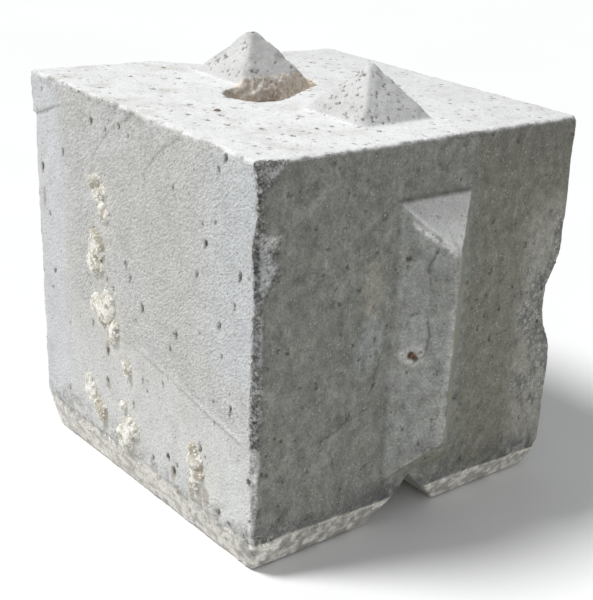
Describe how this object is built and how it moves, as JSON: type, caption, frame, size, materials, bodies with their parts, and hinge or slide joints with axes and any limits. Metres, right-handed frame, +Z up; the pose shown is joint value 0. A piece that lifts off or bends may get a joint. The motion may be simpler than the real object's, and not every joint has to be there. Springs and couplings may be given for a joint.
{
  "type": "interlocking concrete block",
  "caption": "Precast interlocking concrete block with pyramid studs, wedge tongue, V grooves and a cast-in lifting loop in a top pocket.",
  "frame": {"origin": "centre of the block's square footprint, on the ground, in the middle of the base groove", "axes": "+X out of the end with the wedge tongue and along the base groove, +Z up, so +Y is the left side seen from behind the groove end"},
  "size_m": [0.828, 0.764, 0.844],
  "materials": {
    "concrete": "matte",
    "rusty_steel": "matte",
    "earth": "matte",
    "stone": "matte",
    "mortar": "matte"
  },
  "bodies": {
    "root": {"concrete_block": "concrete", "lifting_loop": "rusty_steel", "pocket_fill": "earth", "form_nail": "rusty_steel", "top_stone": "stone", "splash_1": "mortar", "splash_2": "mortar", "splash_3": "mortar", "splash_4": "mortar", "splash_5": "mortar", "splash_6": "mortar", "splash_7": "mortar", "splash_8": "mortar", "splash_9": "mortar", "splash_10": "mortar", "splash_11": "mortar", "splash_12": "mortar"}
  },
  "joints": []
}
